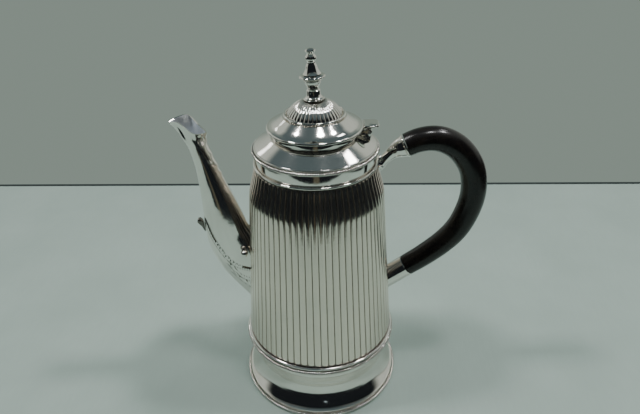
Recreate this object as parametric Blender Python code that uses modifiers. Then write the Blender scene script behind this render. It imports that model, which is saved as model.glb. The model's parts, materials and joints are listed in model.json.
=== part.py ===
"""Silver coffee pot: reeded tapering body, hinged domed lid, curved spout and black C-handle.

Metres, +Z up, the foot's rest face at z = 0.  The spout points to -X and the handle to +X.
The pot's turned pieces share one vertical axis at x = AXIS_X, which puts the middle of the
whole outline, spout tip to handle, over the origin.
"""
from math import asin, copysign, cos, pi, radians, sin, sqrt

import bmesh
import bpy
from mathutils import Matrix, Vector

MM = 0.001
GAP = 0.3                     # clearance left between touching pieces, mm

# Driving dimensions, in mm, measured from the pot's own axis and from the table.
AXIS_X = -11.2
STEPS = 40                    # facets round the large rings
LID_STEPS = 32                # facets round the lid's pieces
SMALL_STEPS = 16              # facets round the finial

WALL = 1.2                    # body and foot sheet
LID_WALL = 1.0                # lid and neck sheet

FOOT_EDGE_R = 54.7
FOOT_EDGE_TOP = 4.6
FOOT_REST_R = 52.4            # inner radius of the rest face
FOOT_COVE = [(49.2, 30.6), (47.9, 26.6), (47.0, 22.6), (46.6, 19.4), (47.1, 15.6), (48.6, 12.2),
             (50.3, 9.4), (52.1, 7.0), (53.5, 5.5)]
FOOT_TOP = 37.6
FOOT_FLANGE_R = 45.0
ROPE_R = 0.95                 # foot rope, half its thickness

BODY_BOTTOM = 37.9
BODY_PLAIN_R = 50.9           # plain band that the two lower rings wrap
BODY_START = 44.3             # the reeding starts here
BODY_START_R = 51.5
BODY_TOP = 172.3
BODY_TAPER = 0.0719           # radius lost per mm of height
BODY_TURN_IN_START = 150.0
BODY_TURN_IN = 3.2            # extra radius lost where the top curves in to the collar

BODY_ROPE_R = 1.5
BODY_ROPE_Z = 39.7
COLLAR_R = 37.5
COLLAR_BOTTOM = 170.2
COLLAR_TOP = 183.7
COLLAR_BEAD_R = 0.8
SHOULDER_ROPE_R = 1.1
SHOULDER_ROPE_Z = 182.55
SHOULDER_R = 38.3
SHOULDER_BOTTOM = 184.0
SHOULDER_RIM = 184.95
SHOULDER_TOP = 190.9

NECK_R = 26.6
NECK_TOP = 195.0
FLANGE_R = 29.7
FLANGE_BOTTOM = 195.3
FLANGE_TOP = 197.4
BEZEL_R = 24.2
BEZEL_BOTTOM = 192.5
BEZEL_TOP = 197.6
LID_SLOPE_TOP = 203.0
LID_SLOPE_TOP_R = 19.3
LID_HOLE_R = 15.6
LID_BEAD_R = 0.8
LID_BEAD_RING_R = 18.2
DOME_CENTRE_Z = 200.6
DOME_R = 17.5
DOME_RISE = 13.05
DOME_BOTTOM = 203.4
DOME_CROWN_R = 6.6            # flat seat of the finial
STUD_R = 1.1
FINIAL_LEAN = radians(-3.0)   # the finial stands a little over towards the spout

HINGE_X = 32.5
HINGE_Z = 193.2
KNUCKLE_R = 1.9
KNUCKLE_BORE_R = 1.15
PIN_R = 0.85
LID_KNUCKLE_HALF = 2.0
BODY_KNUCKLE_END = 5.6
THUMB_HALF_WIDTH = 5.8
THUMB_TIP_X = 38.9
THUMB_UNDERSIDE = 195.8
THUMB_TOP = 197.3

HANDLE_R = 7.35               # at the two ends of the grip
HANDLE_SWELL = 0.95           # added at the middle of the bow
TENON_R = 3.9
TENON_LENGTH = 5.0
SOCKET_BORE_R = TENON_R + GAP
SOCKET_SIDES = 14
CROSS_PIN_R = 0.8
PIN_SETBACK = 2.8             # from the end of the grip back into the socket
GRIP_STATIONS = 22
# The grip's centre line, (x, z): end of the upper socket, over the bow, end of the lower one.
GRIP_LINE = [(56.3, 181.6), (64.2, 184.8), (72.5, 185.8), (80.3, 184.2), (88.5, 179.4),
             (95.4, 171.6), (100.3, 161.5), (102.3, 147.5), (100.2, 133.5), (94.4, 119.0),
             (85.2, 107.6), (72.8, 97.0), (61.5, 88.9)]
UPPER_SOCKET_LINE = [(36.0, 166.0), (39.5, 169.0), (43.4, 172.6), (47.7, 176.6), (51.9, 179.5)]
UPPER_SOCKET_RADII = [4.2, 4.2, 3.3, 4.1, 6.0, HANDLE_R]
LOWER_SOCKET_REACH = 22.0     # from the grip back to inside the body's clearance

# The spout's edges in the plane y = 0, (x, z), from the body to the mouth, in matching pairs.
SPOUT_OUTER = [(-46.5, 63.0), (-59.4, 80.6), (-67.9, 94.6), (-73.4, 110.0), (-75.2, 124.0),
               (-75.1, 140.0), (-75.1, 155.0), (-75.9, 172.0), (-78.4, 185.4), (-82.6, 193.8),
               (-88.3, 201.2)]
SPOUT_INNER = [(-27.0, 100.0), (-33.5, 110.5), (-40.5, 118.6), (-46.0, 125.4), (-48.9, 133.4),
               (-53.3, 146.4), (-57.3, 157.2), (-62.5, 172.4), (-66.0, 183.6), (-66.9, 189.0),
               (-65.7, 193.6)]
SPOUT_HALF_WIDTH = [10.0, 10.0, 10.0, 9.9, 9.7, 9.0, 8.2, 7.5, 7.8, 8.6, 9.7]
MOUTH_START = 0.84            # the share of the spout's length where the mouth begins to form
MOUTH_SADDLE = 4.8            # how far the mouth's sides stand above its tip and heel
MOUTH_BEAK = 0.36             # how much the mouth narrows towards its pouring tip
MOUTH_POINT = 0.8             # how far the mouth's outline goes from oval to pointed
SPOUT_SIDES = 18
SPOUT_STATIONS = 20
SPOUT_WALL = 1.1
SPOUT_BOSS = (-49.2, 12.9, 112.0)
SPOUT_BOSS_R = 2.4
STRAINER_HOLE_R = 2.0
STRAINER_PITCH = 6.0

SILVER = (0.66, 0.65, 0.62)
EBONY = (0.012, 0.011, 0.011)


def new_collection(name):
    collection = bpy.data.collections.new(name)
    bpy.context.scene.collection.children.link(collection)
    return collection


def clear_scene():
    for old in list(bpy.data.objects):
        bpy.data.objects.remove(old, do_unlink=True)


def principled(name, colour, roughness, metallic):
    material = bpy.data.materials.new(name)
    material.use_nodes = True
    shader = material.node_tree.nodes["Principled BSDF"]
    shader.inputs["Base Color"].default_value = (*colour, 1.0)
    shader.inputs["Roughness"].default_value = roughness
    shader.inputs["Metallic"].default_value = metallic
    return material


clear_scene()
PARTS = new_collection("silver_coffee_pot")
CUTTERS = new_collection("cutters")

AXIS = bpy.data.objects.new("pot_axis", None)
AXIS.location = (AXIS_X * MM, 0.0, 0.0)
PARTS.objects.link(AXIS)

LID_HINGE = bpy.data.objects.new("lid_hinge_axis", None)
LID_HINGE.location = ((AXIS_X + HINGE_X) * MM, 0.0, HINGE_Z * MM)
PARTS.objects.link(LID_HINGE)


# ---------------------------------------------------------------- helpers

def place(obj, parent):
    """Hang an object, built in the pot's own frame, on one of the two empties."""
    obj.parent = parent
    if parent is LID_HINGE:
        obj.location = (-HINGE_X * MM, 0.0, -HINGE_Z * MM)


def shade(obj, angle=40):
    obj.data.shade_smooth()
    obj.data.set_sharp_from_angle(angle=radians(angle))


def add_mesh(name, mesh, material, parent=None, collection=None):
    obj = bpy.data.objects.new(name, mesh)
    (collection or PARTS).objects.link(obj)
    if collection is CUTTERS:
        obj.hide_render = True
        obj.display_type = "WIRE"
    obj.data.materials.append(material)
    place(obj, parent or AXIS)
    return obj


def turned(name, profile, material, parent=None, steps=STEPS, closed=True, collection=None):
    """Turn an (r, z) profile in mm about the pot's axis; it runs down its outer side."""
    mesh = bpy.data.meshes.new(name)
    points = [(r * MM, 0.0, z * MM) for r, z in profile]
    count = len(points)
    edges = [(i, (i + 1) % count) for i in range(count if closed else count - 1)]
    mesh.from_pydata(points, edges, [])
    obj = add_mesh(name, mesh, material, parent, collection)
    screw = obj.modifiers.new("turn", "SCREW")
    screw.axis = "Z"
    screw.angle = 2 * pi
    screw.steps = steps
    screw.render_steps = steps
    screw.use_merge_vertices = True
    screw.merge_threshold = 0.00002
    screw.use_smooth_shade = True
    return obj


def arc(centre_r, centre_z, radius_r, radius_z, start, end, count):
    """Points on an ellipse's arc in the (r, z) plane, angles in degrees."""
    points = []
    for i in range(count + 1):
        a = radians(start + (end - start) * i / count)
        points.append((centre_r + radius_r * cos(a), centre_z + radius_z * sin(a)))
    return points


def ring_bead(name, ring_r, z, half, material, parent=None, steps=STEPS):
    """A round wire soldered round the pot."""
    profile = arc(ring_r, z, half, half, 90, -270, 6)[:-1]
    return turned(name, profile, material, parent, steps)


def smoothstep(t):
    t = min(max(t, 0.0), 1.0)
    return t * t * (3 - 2 * t)


def body_radius(z):
    """Outer radius of the reeded body at height z."""
    taper = BODY_START_R - (z - BODY_START) * BODY_TAPER
    turn_in = smoothstep((z - BODY_TURN_IN_START) / (BODY_TOP - BODY_TURN_IN_START))
    return taper - BODY_TURN_IN * turn_in


def catmull_rom(points, count):
    """A smooth curve through the given points, sampled at count + 1 even parameters."""
    points = [Vector(p) for p in points]
    padded = [2 * points[0] - points[1]] + points + [2 * points[-1] - points[-2]]
    spans = len(points) - 1
    curve = []
    for i in range(count + 1):
        u = spans * i / count
        k = min(int(u), spans - 1)
        t = u - k
        a, b, c, d = padded[k:k + 4]
        curve.append(0.5 * (2 * b + (c - a) * t + (2 * a - 5 * b + 4 * c - d) * t * t
                            + (3 * b - a - 3 * c + d) * t ** 3))
    return curve


def cut(obj, cutter):
    boolean = obj.modifiers.new("cut_" + cutter.name, "BOOLEAN")
    boolean.operation = "DIFFERENCE"
    boolean.object = cutter


def rod(name, start, end, radius, material, parent=None, collection=None, sides=12):
    """A closed round bar between two points, in mm in the pot's frame."""
    start = Vector(start) * MM
    end = Vector(end) * MM
    along = end - start
    turn = along.to_track_quat("Z", "Y").to_matrix().to_4x4()
    bm = bmesh.new()
    bmesh.ops.create_cone(bm, cap_ends=True, segments=sides, radius1=radius * MM,
                          radius2=radius * MM, depth=along.length,
                          matrix=Matrix.Translation((start + end) / 2) @ turn)
    mesh = bpy.data.meshes.new(name)
    bm.to_mesh(mesh)
    bm.free()
    obj = add_mesh(name, mesh, material, parent, collection)
    shade(obj)
    return obj


def ball(name, centre, radius, material, segments=12, rings=8):
    bm = bmesh.new()
    bmesh.ops.create_uvsphere(bm, u_segments=segments, v_segments=rings, radius=radius * MM,
                              matrix=Matrix.Translation(Vector(centre) * MM))
    mesh = bpy.data.meshes.new(name)
    bm.to_mesh(mesh)
    bm.free()
    obj = add_mesh(name, mesh, material)
    shade(obj, 60)
    return obj


def loft(name, rings, material, closed_tube=False):
    """Skin matching rings of points, in mm; the ends are capped unless the tube closes."""
    bm = bmesh.new()
    loops = [[bm.verts.new(Vector(p) * MM) for p in ring] for ring in rings]
    sides = len(loops[0])
    spans = len(loops) if closed_tube else len(loops) - 1
    for i in range(spans):
        near, far = loops[i], loops[(i + 1) % len(loops)]
        for j in range(sides):
            k = (j + 1) % sides
            bm.faces.new((near[j], near[k], far[k], far[j]))
    if not closed_tube:
        bm.faces.new(loops[0][::-1])
        bm.faces.new(loops[-1])
    bmesh.ops.recalc_face_normals(bm, faces=bm.faces)
    mesh = bpy.data.meshes.new(name)
    bm.to_mesh(mesh)
    bm.free()
    obj = add_mesh(name, mesh, material)
    shade(obj)
    return obj


def round_section(centre, along, radius, sides):
    """A circle of points round (x, z), square to the direction along in the plane y = 0."""
    across = Vector((-along[1], along[0])).normalized()
    ring = []
    for j in range(sides):
        a = 2 * pi * j / sides
        x = centre[0] + across.x * radius * cos(a)
        z = centre[1] + across.y * radius * cos(a)
        ring.append((x, radius * sin(a), z))
    return ring


# ---------------------------------------------------------------- foot and body

def make_foot(silver):
    """Spun foot: a cove that flares to a rolled edge, with a flange under the body."""
    cove = [*FOOT_COVE, (FOOT_EDGE_R, FOOT_EDGE_TOP)]
    inner_cove = [(r - WALL, z - 0.6) for r, z in FOOT_COVE]
    outer = [(FOOT_FLANGE_R, FOOT_TOP), (BODY_PLAIN_R, FOOT_TOP), (BODY_PLAIN_R, FOOT_TOP - 3.4),
             *cove, (FOOT_EDGE_R, 0.0)]
    inner = [(FOOT_REST_R, 0.0), (FOOT_REST_R, 3.0), *inner_cove[::-1],
             (BODY_PLAIN_R - WALL, FOOT_TOP - 3.4), (BODY_PLAIN_R - WALL - 0.4, FOOT_TOP - WALL),
             (FOOT_FLANGE_R, FOOT_TOP - WALL)]
    turned("foot", outer + inner, silver)
    ring_bead("foot_rope", FOOT_EDGE_R + GAP + ROPE_R, 1.95, ROPE_R, silver)


def make_body(silver):
    """Tapering sheet body; its wall is pierced where the spout is soldered on."""
    heights = [BODY_START, 80.0, 115.0, BODY_TURN_IN_START, 154.5, 159.0, 163.5, 168.0, BODY_TOP]
    outer = [(body_radius(z), z) for z in reversed(heights)]
    outer += [(BODY_PLAIN_R, BODY_START - 0.1), (BODY_PLAIN_R, BODY_BOTTOM)]
    inner = [(BODY_PLAIN_R - WALL, BODY_BOTTOM), (BODY_PLAIN_R - WALL, BODY_START)]
    inner += [(body_radius(z) - WALL, z) for z in heights[2:]]
    body = turned("body", outer + inner, silver)
    for row, z in enumerate((83.0, 90.0, 97.0, 104.0, 111.0)):
        count = 2 - row % 2
        for k in range(count + 1):
            y = (k - count / 2) * STRAINER_PITCH
            name = f"strainer_cutter_{row}_{k}"
            hole = rod(name, (-60, y, z), (-40, y, z), STRAINER_HOLE_R, silver,
                       collection=CUTTERS, sides=8)
            cut(body, hole)
    turned("body_bottom", [(0, 41.4), (40, 40.4), (49.3, 40.0), (49.3, 38.8), (40, 39.2),
                           (0, 40.2)], silver, closed=False)


def make_lower_rings(silver):
    """Twisted wire and half-round moulding that cover the seam of body and foot."""
    ring_bead("body_rope", BODY_PLAIN_R + GAP + BODY_ROPE_R, BODY_ROPE_Z, BODY_ROPE_R, silver)
    inside = BODY_PLAIN_R + GAP
    turned("base_moulding", [(inside, 43.8), (inside + 0.7, 43.8), (inside + 1.5, 43.1),
                             (inside + 1.5, 42.3), (inside + 0.7, 41.6), (inside, 41.6)], silver)


def make_collar(silver):
    """Plain collar sleeve with a bead at its foot and a twisted wire at its top."""
    inner = COLLAR_R - WALL
    turned("collar", [(inner, COLLAR_TOP), (COLLAR_R, COLLAR_TOP), (COLLAR_R, COLLAR_BOTTOM),
                      (inner, COLLAR_BOTTOM)], silver)
    ring_bead("collar_bead", COLLAR_R + GAP + COLLAR_BEAD_R, BODY_TOP + GAP + COLLAR_BEAD_R,
              COLLAR_BEAD_R, silver)
    ring_bead("shoulder_rope", COLLAR_R + GAP + SHOULDER_ROPE_R, SHOULDER_ROPE_Z,
              SHOULDER_ROPE_R, silver)


def make_shoulder(silver):
    """Sloping coved shoulder and the upright neck that the lid closes on."""
    hole = NECK_R - LID_WALL
    cove = [(27.9, 190.6), (30.5, 189.0), (34.0, 187.0), (37.4, 185.1)]
    outer = [(hole, SHOULDER_TOP), (27.2, SHOULDER_TOP), *cove, (38.1, SHOULDER_RIM),
             (SHOULDER_R, 184.6), (SHOULDER_R, SHOULDER_BOTTOM)]
    inner = [(COLLAR_R - WALL, SHOULDER_BOTTOM), (COLLAR_R - WALL, 184.4),
             *[(r - 0.2, z - LID_WALL) for r, z in cove[::-1][1:]], (hole, 189.8)]
    turned("shoulder", outer + inner, silver)
    bottom = SHOULDER_TOP + GAP
    turned("neck", [(hole, NECK_TOP), (NECK_R, NECK_TOP), (NECK_R, bottom), (hole, bottom)],
           silver)


# ---------------------------------------------------------------- lid

def make_lid(silver):
    """Spun lid: rolled flange, rising ogee and a seat for the dome."""
    hinge = LID_HINGE
    rim = arc(FLANGE_R - 1.0, (FLANGE_BOTTOM + FLANGE_TOP) / 2, 1.0,
              (FLANGE_TOP - FLANGE_BOTTOM) / 2, 90, -90, 5)
    ogee = [(21.0, 201.75), (22.7, 200.5), (24.5, 199.15), (26.2, 198.1), (27.9, 197.5)]
    outer = [(LID_HOLE_R, LID_SLOPE_TOP + 0.1), (LID_SLOPE_TOP_R, LID_SLOPE_TOP), *ogee, *rim]
    bore = BEZEL_R + GAP
    inner = [(bore, FLANGE_BOTTOM), (bore, 198.1), (18.8, LID_SLOPE_TOP - LID_WALL),
             (LID_HOLE_R, LID_SLOPE_TOP - LID_WALL)]
    turned("lid", outer + inner, silver, hinge, LID_STEPS)
    turned("lid_bezel", [(BEZEL_R - 0.9, BEZEL_TOP), (BEZEL_R, BEZEL_TOP),
                         (BEZEL_R, BEZEL_BOTTOM), (BEZEL_R - 0.9, BEZEL_BOTTOM)],
           silver, hinge, LID_STEPS)
    ring_bead("lid_bead", LID_BEAD_RING_R, LID_SLOPE_TOP + 0.4 + LID_BEAD_R, LID_BEAD_R, silver,
              hinge, LID_STEPS)
    start = asin((DOME_BOTTOM - DOME_CENTRE_Z) / DOME_RISE) * 180 / pi
    end = 180 / pi * asin(sqrt(1 - (DOME_CROWN_R / DOME_R) ** 2))
    outside = arc(0, DOME_CENTRE_Z, DOME_R, DOME_RISE, end, start, 6)
    inside = arc(0, DOME_CENTRE_Z, DOME_R - LID_WALL, DOME_RISE - LID_WALL, start + 1, end, 5)
    crown = outside[0][1]
    hole = STUD_R + GAP
    turned("lid_dome", [(hole, crown), *outside, *inside, (hole, crown - LID_WALL)], silver,
           hinge, LID_STEPS)
    return crown


def make_finial(silver, brass, crown):
    """Three turned pieces and their stud, leaning together about the seat on the dome."""
    seat = bpy.data.objects.new("finial_seat", None)
    PARTS.objects.link(seat)
    seat.parent = LID_HINGE
    seat.location = (-HINGE_X * MM, 0.0, (crown - HINGE_Z) * MM)
    seat.rotation_euler = (0.0, FINIAL_LEAN, 0.0)

    def piece(name, profile, material, closed=True):
        obj = turned(name, profile, material, LID_HINGE, SMALL_STEPS, closed)
        obj.parent = seat
        obj.location = (0.0, 0.0, 0.0)
        return obj

    bore = STUD_R + GAP
    piece("finial_base", [(bore, 12.9), (4.3, 12.9), (5.1, 12.2), (5.0, 11.0), (3.6, 7.6),
                          (3.3, 6.9), (4.1, 6.3), (4.1, 3.6), (4.8, 2.2), (6.3, 1.3),
                          (6.3, 0.75), (bore, 0.75)], silver)
    piece("finial_disc", [(bore, 15.6), (5.2, 15.6), (7.6, 14.9), (7.8, 14.3), (7.5, 13.7),
                          (4.4, 13.2), (bore, 13.2)], silver)
    piece("finial_spire", [(0, 30.6), (2.2, 30.2), (3.1, 29.2), (2.4, 27.9), (2.2, 27.2),
                           (3.2, 25.9), (3.3, 24.5), (2.5, 23.2), (2.4, 22.3), (3.1, 21.0),
                           (3.6, 19.0), (4.6, 16.9), (5.4, 15.9), (bore, 15.9), (bore, 20.0),
                           (0, 20.3)], silver, closed=False)
    piece("finial_stud", [(0, 19.6), (STUD_R, 19.2), (STUD_R, -4.6), (0, -4.8)], brass,
          closed=False)
    piece("finial_nut", [(bore, -1.9), (3.2, -1.9), (3.2, -3.9), (bore, -3.9)], brass)


def flat_outline(name, points, low, high, material, parent=None, collection=None, plane="XZ"):
    """An outline in mm, extruded from low to high along Y, or along Z where the plane is XY."""
    curve = bpy.data.curves.new(name, "CURVE")
    curve.dimensions = "2D"
    curve.fill_mode = "BOTH"
    curve.extrude = (high - low) / 2 * MM
    spline = curve.splines.new("POLY")
    spline.points.add(len(points) - 1)
    for point, (u, v) in zip(spline.points, points):
        point.co = (u * MM, v * MM, 0.0, 1.0)
    spline.use_cyclic_u = True
    shape = bpy.data.objects.new(name + "_curve", curve)
    bpy.context.scene.collection.objects.link(shape)
    depsgraph = bpy.context.evaluated_depsgraph_get()
    mesh = bpy.data.meshes.new_from_object(shape.evaluated_get(depsgraph))
    bpy.data.objects.remove(shape, do_unlink=True)
    bm = bmesh.new()
    bm.from_mesh(mesh)
    bmesh.ops.remove_doubles(bm, verts=bm.verts, dist=1e-6)
    middle = (low + high) / 2 * MM
    if plane == "XZ":
        bm.transform(Matrix.Translation((0.0, middle, 0.0)) @ Matrix.Rotation(radians(90), 4, "X"))
    else:
        bm.transform(Matrix.Translation((0.0, 0.0, middle)))
    bmesh.ops.recalc_face_normals(bm, faces=bm.faces)
    bm.to_mesh(mesh)
    bm.free()
    obj = add_mesh(name, mesh, material, parent, collection)
    shade(obj, 30)
    return obj


def make_hinge_cutters(silver):
    turned("neck_clearance", [(0, 200), (NECK_R + GAP, 200), (NECK_R + GAP, 180), (0, 180)],
           silver, closed=False, collection=CUTTERS)
    rod("pin_bore", (HINGE_X, -12, HINGE_Z), (HINGE_X, 12, HINGE_Z), KNUCKLE_BORE_R, silver,
        collection=CUTTERS)


def make_hinge(silver, steel):
    """Two knuckles, each with a leaf to the neck and a strut down to the shoulder, and the pin."""
    knuckle = arc(HINGE_X, HINGE_Z, KNUCKLE_R, KNUCKLE_R, 128, -60, 9)
    outline = [(26.4, 194.5), *knuckle, (33.6, 189.8), (33.5, 187.6), (31.2, 189.0),
               (30.6, 190.4), (29.2, 191.6), (26.4, 191.8)]
    inner = LID_KNUCKLE_HALF + GAP
    spans = {"hinge_knuckle_front": (-BODY_KNUCKLE_END, -inner),
             "hinge_knuckle_back": (inner, BODY_KNUCKLE_END)}
    for name, (low, high) in spans.items():
        bracket = flat_outline(name, outline, low, high, silver)
        cut(bracket, bpy.data.objects["neck_clearance"])
        cut(bracket, bpy.data.objects["pin_bore"])
    rod("hinge_pin", (HINGE_X, -BODY_KNUCKLE_END - 0.4, HINGE_Z),
        (HINGE_X, BODY_KNUCKLE_END + 0.4, HINGE_Z), PIN_R, steel)


def make_thumbpiece(silver):
    """Flat thumb plate on a tapering bracket that ends in the lid's knuckle."""
    w = THUMB_HALF_WIDTH
    tip = THUMB_TIP_X
    root = FLANGE_R + GAP
    spread = 180 / pi * asin(w / root)
    outline = [(tip - 2.5, -w), (tip - 0.7, -w + 1.2), (tip, -w + 3.4), (tip, w - 3.4),
               (tip - 0.7, w - 1.2), (tip - 2.5, w),
               *arc(0, 0, root + 0.1, root + 0.1, spread, -spread, 4)]
    plate = flat_outline("thumbpiece", outline, THUMB_UNDERSIDE, THUMB_TOP, silver, LID_HINGE,
                         plane="XY")
    knuckle = arc(HINGE_X, HINGE_Z, KNUCKLE_R, KNUCKLE_R, 150, 380, 9)
    bracket = [(30.4, 196.6), (30.5, 194.8), *knuckle, (35.1, 194.7), (36.5, 195.5),
               (37.9, 196.0), (37.9, 196.6)]
    web = flat_outline("thumb_bracket", bracket, -LID_KNUCKLE_HALF, LID_KNUCKLE_HALF, silver,
                       LID_HINGE, CUTTERS)
    union = plate.modifiers.new("bracket", "BOOLEAN")
    union.operation = "UNION"
    union.object = web
    cut(plate, bpy.data.objects["pin_bore"])


# ---------------------------------------------------------------- spout

def spout_ring(outer, inner, half_width, wall, mouth):
    """One section of the spout; mouth goes from 0, an oval, to 1, the beaked mouth."""
    centre = (outer + inner) / 2
    reach = (inner - outer) / 2
    long_half = reach.length - wall
    axis = reach.normalized()
    ring = []
    for j in range(SPOUT_SIDES):
        a = 2 * pi * j / SPOUT_SIDES
        to_heel = cos(a)
        side = copysign(abs(sin(a)) ** (1 + MOUTH_POINT * mouth), sin(a))
        beak = 1 - mouth * MOUTH_BEAK * smoothstep(-to_heel / 0.6)
        lift = mouth * MOUTH_SADDLE * sin(a) ** 2 * (1 - smoothstep((to_heel + 0.2) / 0.8))
        ring.append((centre.x + axis.x * long_half * to_heel,
                     (half_width - wall) * beak * side,
                     centre.y + axis.y * long_half * to_heel + lift))
    return ring


def make_spout(silver):
    """Hollow oval tube lofted from the body to the slanting mouth."""
    outer = catmull_rom(SPOUT_OUTER, SPOUT_STATIONS)
    inner = catmull_rom(SPOUT_INNER, SPOUT_STATIONS)
    width = catmull_rom([(w, 0.0) for w in SPOUT_HALF_WIDTH], SPOUT_STATIONS)
    skin, bore = [], []
    for i in range(SPOUT_STATIONS + 1):
        mouth = smoothstep((i / SPOUT_STATIONS - MOUTH_START) / (1 - MOUTH_START))
        skin.append(spout_ring(outer[i], inner[i], width[i].x, 0.0, mouth))
        bore.append(spout_ring(outer[i], inner[i], width[i].x, SPOUT_WALL, mouth))
    spout = loft("spout", skin + bore[::-1], silver, closed_tube=True)
    cut(spout, bpy.data.objects["body_clearance"])


def make_body_cutter(silver):
    """Everything inside the body's skin, a little larger, to trim what is soldered on."""
    heights = [30.0, BODY_START, 80.0, 115.0, BODY_TURN_IN_START, 154.5, 159.0, 163.5, 168.0,
               BODY_TOP]
    side = [(body_radius(z) + GAP, z) for z in reversed(heights)]
    collar = [(0, 188.0), (COLLAR_R + GAP, 188.0), (COLLAR_R + GAP, BODY_TOP + 2.2)]
    turned("body_clearance", [*collar, (COLLAR_R + 2.2, BODY_TOP + 2.2),
                              (COLLAR_R + 2.2, BODY_TOP + 0.05), *side, (0, 30.0)], silver,
           closed=False, collection=CUTTERS)


def make_spout_trim(silver):
    """The small scroll under the spout's bend and a boss on each cheek of its root."""
    scroll = [(-76.0, 128.4), (-76.4, 131.0), (-77.9, 132.6), (-79.6, 132.2), (-80.0, 130.4),
              (-78.9, 128.9), (-77.3, 127.0), (-76.2, 124.2), (-75.6, 122.6)]
    flat_outline("spout_scroll", scroll, -1.7, 1.7, silver)
    x, y, z = SPOUT_BOSS
    ball("spout_boss_front", (x, -y, z), SPOUT_BOSS_R, silver)
    ball("spout_boss_back", (x, y, z), SPOUT_BOSS_R, silver)


# ---------------------------------------------------------------- handle

def make_upper_socket(silver, line, first):
    """Trumpet that curves out of the collar and swells to the grip."""
    stations = 9
    path = catmull_rom([*UPPER_SOCKET_LINE, tuple(line[0])], stations)
    radii = catmull_rom([(r, 0.0) for r in UPPER_SOCKET_RADII], stations)
    rings = []
    for i in range(stations):
        ahead = path[i + 1] - path[max(i - 1, 0)]
        rings.append(round_section(path[i], ahead, radii[i].x, SOCKET_SIDES))
    rings.append(round_section(line[0], first, HANDLE_R, SOCKET_SIDES))
    rings += [round_section(line[0] - first * d, first, SOCKET_BORE_R, SOCKET_SIDES)
              for d in (0.0, TENON_LENGTH + GAP)]
    return loft("upper_socket", rings, silver)


def make_lower_socket(silver, line, last):
    """Plain tube that leaves the body in line with the lower end of the grip."""
    back = -last
    root = line[-1] + last * LOWER_SOCKET_REACH
    rings = [round_section(root, back, HANDLE_R, SOCKET_SIDES),
             round_section(line[-1], back, HANDLE_R, SOCKET_SIDES)]
    rings += [round_section(line[-1] + last * d, back, SOCKET_BORE_R, SOCKET_SIDES)
              for d in (0.0, TENON_LENGTH + GAP)]
    return loft("lower_socket", rings, silver)


def make_cross_pin(name, centre, half_length, socket, handle, material):
    """A pin across the socket and the grip's tenon."""
    x, z = centre
    bore = rod(name + "_bore", (x, -12, z), (x, 12, z), CROSS_PIN_R + GAP, material,
               collection=CUTTERS, sides=10)
    cut(socket, bore)
    cut(handle, bore)
    rod(name, (x, -half_length, z), (x, half_length, z), CROSS_PIN_R, material, sides=10)


def make_handle(silver, ebony, steel):
    """Bowed grip with a tenon at each end, held in two sockets by cross pins."""
    line = catmull_rom(GRIP_LINE, GRIP_STATIONS)
    first = (line[1] - line[0]).normalized()
    last = (line[-1] - line[-2]).normalized()
    rings = [round_section(line[0] - first * d, first, TENON_R, SOCKET_SIDES)
             for d in (TENON_LENGTH, -GAP)]
    for i, point in enumerate(line):
        ahead = line[min(i + 1, GRIP_STATIONS)] - line[max(i - 1, 0)]
        radius = HANDLE_R + HANDLE_SWELL * sin(pi * i / GRIP_STATIONS)
        shift = {0: first, GRIP_STATIONS: -last}.get(i, Vector((0.0, 0.0))) * GAP
        rings.append(round_section(point + shift, ahead, radius, SOCKET_SIDES))
    rings += [round_section(line[-1] + last * d, last, TENON_R, SOCKET_SIDES)
              for d in (-GAP, TENON_LENGTH)]
    handle = loft("handle", rings, ebony)
    upper = make_upper_socket(silver, line, first)
    lower = make_lower_socket(silver, line, last)
    for socket in (upper, lower):
        cut(socket, bpy.data.objects["body_clearance"])
    make_cross_pin("upper_handle_pin", line[0] - first * PIN_SETBACK, 6.3, upper, handle, steel)
    make_cross_pin("lower_handle_pin", line[-1] + last * PIN_SETBACK, 7.1, lower, handle, steel)


def main():
    silver = principled("silver_plate", SILVER, 0.16, 1.0)
    steel = principled("nickel_steel", (0.55, 0.54, 0.52), 0.3, 1.0)
    brass = principled("brass", (0.70, 0.52, 0.24), 0.35, 1.0)
    ebony = principled("ebonised_wood", EBONY, 0.28, 0.0)
    make_body_cutter(silver)
    make_hinge_cutters(silver)
    make_foot(silver)
    make_body(silver)
    make_lower_rings(silver)
    make_collar(silver)
    make_shoulder(silver)
    crown = make_lid(silver)
    make_finial(silver, brass, crown)
    make_hinge(silver, steel)
    make_thumbpiece(silver)
    make_spout(silver)
    make_spout_trim(silver)
    make_handle(silver, ebony, steel)


main()
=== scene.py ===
"""The looks of the silver coffee pot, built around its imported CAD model.

Lengths are in mm from the pot's own upright axis and from the table, and become metres where a
mesh is made.  Every piece is placed on the axis that the frame gives, and rides on a CAD body.
"""
import json
from math import asin, copysign, cos, degrees, exp, hypot, pi, radians, sin, sqrt

import bmesh
import bpy
from mathutils import Matrix, Quaternion, Vector


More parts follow.
